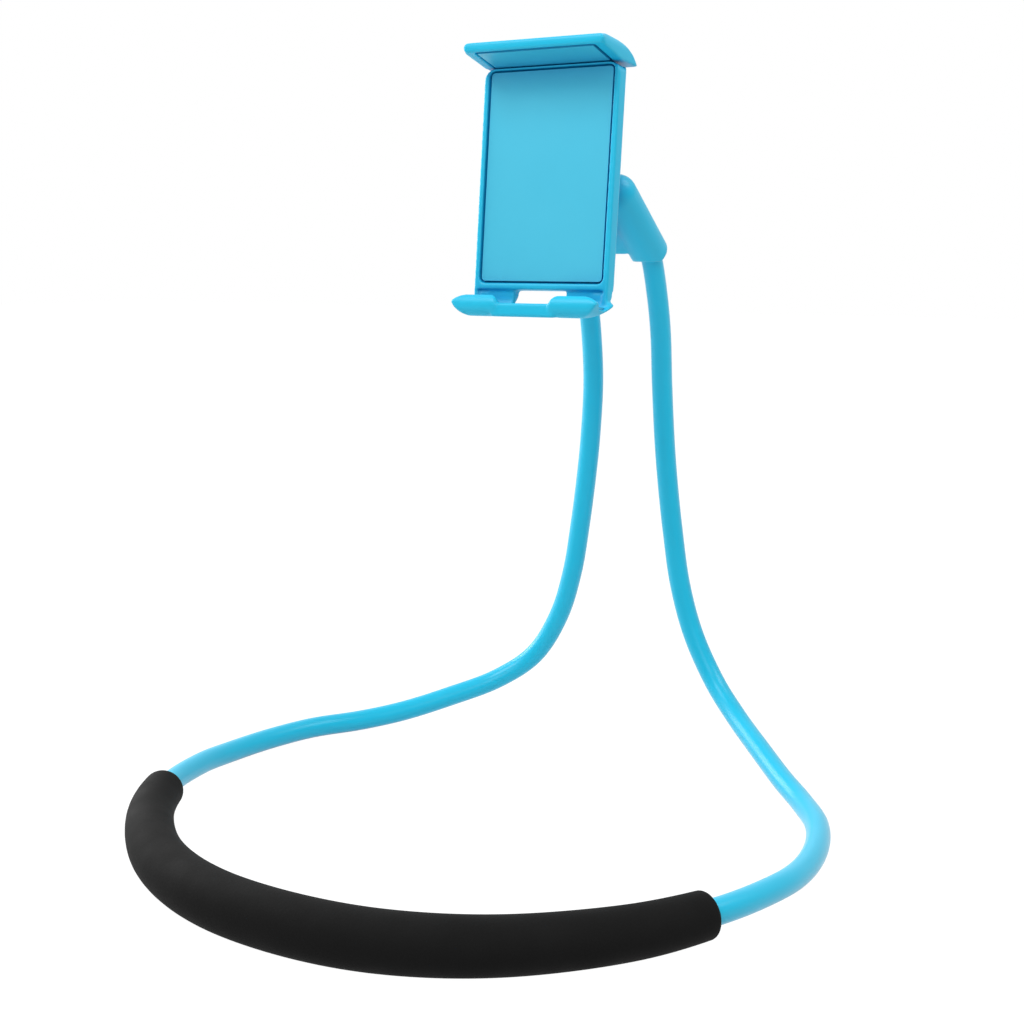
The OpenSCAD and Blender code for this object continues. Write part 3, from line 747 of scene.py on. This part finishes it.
def tube(path: Sequence[Vector], radius: float, sides: int) -> tuple[list[Vector], list[list[int]]]:
    """Skins a wire along a path, turning its rings as little as it can.

    Args:
        path: The wire's middle line.
        radius: The wire's radius, in the path's unit.
        sides: How many sides it has.

    Returns:
        The points and the faces.
    """
    rings = []
    side = X_AXIS
    for k, middle in enumerate(path):
        ahead = (path[min(k + 1, len(path) - 1)] - path[max(k - 1, 0)]).normalized()
        side = (side - side.dot(ahead) * ahead).normalized()
        other = ahead.cross(side)
        turns = (2 * math.pi * i / sides for i in range(sides))
        rings.append([middle + radius * (math.cos(a) * side + math.sin(a) * other) for a in turns])
    return loft(rings)


@dataclass
class ReturnSprings:
    """Two extension springs between the clamp and its upper jaw, with a loop at each end.

    Attributes:
        wire_r: Radius of the wire.
        coil_r: Radius of the coil's middle line.
        loop_r: Radius of the end loops' middle line.
        turns: How many turns the coil has.
        turn_steps: How many stretches a turn is drawn with.
        sides: How many sides the wire has.
    """

    wire_r: float = 0.25
    coil_r: float = 1.15
    loop_r: float = 1.05
    turns: int = 34
    turn_steps: int = 14
    sides: int = 6

    def path(self, low: float, high: float) -> list[Vector]:
        """The wire's middle line, upright round X = Y = 0.

        Args:
            low: Height of the lower loop's middle.
            high: Height of the upper loop's middle.

        Returns:
            The line's points, from the lower loop to the upper one.
        """
        foot, head = low + 2 * self.loop_r, high - 2 * self.loop_r
        steps = self.turns * self.turn_steps
        coil = []
        for k in range(steps + 1):
            angle = 2 * math.pi * k / self.turn_steps
            height = foot + (head - foot) * k / steps
            coil.append(Vector((self.coil_r * math.cos(angle), self.coil_r * math.sin(angle), height)))
        loop = []
        for k in range(self.turn_steps):
            angle = 2 * math.pi * k / self.turn_steps
            loop.append(Vector((self.loop_r * math.sin(angle), 0, self.loop_r * math.cos(angle))))
        upper = [Vector((p.x, 0, high - p.z)) for p in loop]
        lower = [Vector((p.x, 0, low + p.z)) for p in reversed(loop)]
        return [*lower, *coil, *upper]

    def build(self, frame: Mapping[str, object]) -> None:
        """Winds both springs where the frame has its plain ones.

        Args:
            frame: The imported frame.
        """
        face = next(row for row in frame["record"]["mounts"] if row["name"] == "phone_face")
        depth = -Vector(face["axis"]).normalized()
        rise = X_AXIS.cross(depth)
        plain = frame["nodes"]["return_springs"]
        places = [plain.matrix_world @ v.co for v in plain.data.vertices]
        points: list[Vector] = []
        faces: list[list[int]] = []
        for hand in (-1, 1):
            own = [p for p in places if p.x * hand > 0]
            x, y, z = ([p.dot(axis) / MM for p in own] for axis in (X_AXIS, depth, rise))
            middle = Vector(((min(x) + max(x)) / 2, (min(y) + max(y)) / 2, 0))
            reach = self.loop_r + self.wire_r
            low, high = min(z) + reach, max(z) - reach
            skin, sides = tube(self.path(low, high), self.wire_r, self.sides)
            faces += [[i + len(points) for i in side] for side in sides]
            for p in skin:
                q = p + middle
                points.append((q.x * X_AXIS + q.y * depth + q.z * rise) * MM)
        piece = new_piece("return_spring_coils", points, faces, Slot.STEEL)
        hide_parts("return_springs")
        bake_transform(piece)


# For each moulding, the side of its even grid in millimetres and its passes of smoothing
MOULDING_GRIDS: dict[str, tuple[float, int]] = {
    "front_frame": (0.35, 26),
    "upper_jaw": (0.35, 24),
    "back_shell": (0.45, 6),
    "yoke": (0.4, 16),
}
# Wider roundings of the soft pads, in millimetres
SOFT_EDGES: dict[str, float] = {
    "face_pad": 1.0,
    "upper_jaw_pad": 0.7,
    "left_foot_pad": 0.35,
    "right_foot_pad": 0.35,
}


@dataclass
class Mouldings:
    """The hard blue mouldings: the frame's solids with the fillets that a mould gives them.

    Each solid is taken as it stands, cut into a fine even mesh, and smoothed, so that its
    edges round off and its inner corners fill as on the real moulding.

    Attributes:
        factor: How far a pass of smoothing moves a point towards its neighbours' middle.
    """

    factor: float = 0.5

    def build(self, frame: Mapping[str, object]) -> None:
        """Softens each moulding's own solid.

        Args:
            frame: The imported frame.
        """
        for name, (grid, passes) in MOULDING_GRIDS.items():
            node = frame["nodes"][name]
            even = node.modifiers.new("even_grid", "REMESH")
            even.mode = "VOXEL"
            even.voxel_size = grid * MM
            even.use_smooth_shade = True
            smooth = node.modifiers.new("moulded_fillets", "SMOOTH")
            smooth.factor = self.factor
            smooth.iterations = passes


@dataclass
class CarriedNodes:
    """CAD nodes whose shape is right: they get a finish and softened edges.

    Attributes:
        edge_mm: Width of a softened edge.
        edge_angle: Least turn of an edge that is softened, in degrees.
        edge_steps: How many stretches a softened edge is drawn with.
    """

    edge_mm: float = 0.25
    edge_angle: float = 40.0
    edge_steps: int = 3

    def build(self, frame: Mapping[str, object]) -> None:
        """Dresses each CAD node by its slot, and bevels those that aren't mouldings.

        Args:
            frame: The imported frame.
        """
        slots = {row["node"]: Slot(row["material_slot"]) for row in frame["record"]["subparts"]}
        for name, node in frame["nodes"].items():
            node.data.materials.clear()
            node.data.materials.append(SLOT_FINISH[slots[name]].material())
            if node.modifiers:
                continue
            bevel = node.modifiers.new("softened_edges", "BEVEL")
            bevel.width = SOFT_EDGES.get(name, self.edge_mm) * MM
            bevel.segments = self.edge_steps
            bevel.limit_method = "ANGLE"
            bevel.angle_limit = math.radians(self.edge_angle)


@dataclass(frozen=True)
class Lamp:
    """A square soft lamp.

    Attributes:
        name: Its name.
        place: Where it hangs, in metres.
        size: Its side, in metres.
        watts: Its power.
    """

    name: str
    place: tuple[float, float, float]
    size: float
    watts: float

    def hang(self, target: Sequence[float]) -> None:
        """Hangs the lamp.

        Args:
            target: What it points at, in metres.
        """
        data = bpy.data.lights.new(self.name, "AREA")
        data.size = self.size
        data.energy = self.watts
        lamp = bpy.data.objects.new(self.name, data)
        lamp.location = self.place
        lamp.rotation_euler = (Vector(target) - Vector(self.place)).to_track_quat("-Z", "Y").to_euler()
        bpy.context.scene.collection.objects.link(lamp)


@dataclass
class Studio:
    """The floor, the backdrop, the lamps and the camera.

    Attributes:
        lens: Focal length, in millimetres.
        sensor: Width of the sensor, in millimetres.
        clip: Nearest and farthest that the camera sees, in metres.
        place: The camera's place, in millimetres.
        pitch: The camera's turn about X, in degrees.
        azimuth: The camera's turn about Z, in degrees.
        floor_half: Half the floor's side, in metres.
        floor_white: How much of the floor shows as white; the rest shows its shadows.
        floor_glow: Strength of that white.
        paper: Brightness of the floor itself.
        world_strength: Strength of the light from all round.
        aim: What the lamps point at, in metres.
    """

    lens: float = 52.6
    sensor: float = 36.0
    clip: tuple[float, float] = (0.01, 50.0)
    place: tuple[float, float, float] = (253.2, -421.5, 194.7)
    pitch: float = 80.075
    azimuth: float = 29.673
    floor_half: float = 4.0
    floor_white: float = 0.87
    floor_glow: float = 1.15
    paper: float = 0.75
    world_strength: float = 0.2
    aim: tuple[float, float, float] = (0.0, 0.0, 0.13)

    WHITE: ClassVar[tuple[float, ...]] = (1.0, 1.0, 1.0, 1.0)
    LAMPS: ClassVar[tuple[Lamp, ...]] = (
        Lamp("key", (-0.3, -0.55, 1.05), 0.5, 7.0),
        Lamp("left", (-0.95, 0.1, 0.5), 0.7, 9.0),
        Lamp("right_rear", (0.6, 0.25, 1.0), 0.6, 6.0),
        Lamp("fill", (0.5, -0.9, 0.7), 0.6, 4.0),
    )

    def camera(self) -> None:
        """Places the camera at the photograph's viewpoint."""
        data = bpy.data.cameras.new("camera")
        data.sensor_width = self.sensor
        data.lens = self.lens
        data.clip_start, data.clip_end = self.clip
        camera = bpy.data.objects.new("camera", data)
        camera.location = Vector(self.place) * MM
        camera.rotation_euler = (math.radians(self.pitch), 0, math.radians(self.azimuth))
        bpy.context.scene.collection.objects.link(camera)
        bpy.context.scene.camera = camera

    def white(self, tree: bpy.types.NodeTree) -> bpy.types.NodeSocket:
        """Tells the rays that see the background from those that light the object.

        Args:
            tree: The node tree that needs it.

        Returns:
            A socket of one for camera, glossy and transmission rays, and zero for the rest.
        """
        path = add_node(tree, "LightPath").outputs
        seen = path["Is Camera Ray"]
        for kind in ("Is Glossy Ray", "Is Transmission Ray"):
            seen = add_node(tree, "Math", {0: seen, 1: path[kind]}, operation="MAXIMUM").outputs[0]
        return seen

    def floor(self) -> None:
        """Lays a pale floor that shows white and keeps a soft shadow."""
        half = self.floor_half
        corner_points = [(x * half, y * half, 0) for x, y in ((-1, -1), (1, -1), (1, 1), (-1, 1))]
        mesh = bpy.data.meshes.new("floor")
        mesh.from_pydata(corner_points, [], [(0, 1, 2, 3)])
        floor = bpy.data.objects.new("floor", mesh)
        bpy.context.scene.collection.objects.link(floor)
        material = bpy.data.materials.new("matte_white_paper")
        material.use_nodes = True
        tree = material.node_tree
        tree.nodes.clear()
        paper = add_node(tree, "BsdfDiffuse", {"Color": (self.paper, self.paper, self.paper, 1.0)})
        glow = add_node(tree, "Emission", {"Color": self.WHITE, "Strength": self.floor_glow})
        share = add_node(
            tree, "Math", {0: self.white(tree), 1: self.floor_white}, operation="MULTIPLY"
        ).outputs[0]
        mixed = add_node(tree, "MixShader", {0: share, 1: paper.outputs[0], 2: glow.outputs[0]})
        add_node(tree, "OutputMaterial", {"Surface": mixed.outputs[0]})
        mesh.materials.append(material)

    def world(self) -> None:
        """A white surround that lights the object evenly."""
        world = bpy.data.worlds.new("studio")
        bpy.context.scene.world = world
        world.use_nodes = True
        tree = world.node_tree
        tree.nodes.clear()
        strength = add_node(
            tree,
            "MapRange",
            {"Value": self.white(tree), "To Min": self.world_strength, "To Max": 1.0},
        ).outputs["Result"]
        shown = add_node(tree, "Background", {"Color": self.WHITE, "Strength": strength})
        add_node(tree, "OutputWorld", {"Surface": shown.outputs[0]})

    def build(self) -> None:
        """Builds the whole studio."""
        bpy.context.scene.view_settings.view_transform = "Standard"
        self.camera()
        self.floor()
        self.world()
        for lamp in self.LAMPS:
            lamp.hang(self.aim)


def build_part(name: str, build: Callable[[], None]) -> None:
    """Builds one sub-assembly and reports it.

    Args:
        name: What is built.
        build: Builds it.
    """
    build()
    LOG.info("built %s", name)


def main() -> None:
    """Builds the whole scene round the frame."""
    logging.basicConfig(level=logging.INFO)
    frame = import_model()
    build_part("studio", Studio().build)
    build_part("gooseneck", Gooseneck().build)
    build_part("foam sleeve", FoamSleeve().build)
    build_part("return springs", lambda: ReturnSprings().build(frame))
    build_part("mouldings", lambda: Mouldings().build(frame))
    build_part("carried nodes", lambda: CarriedNodes().build(frame))


if __name__ == "__main__":
    main()
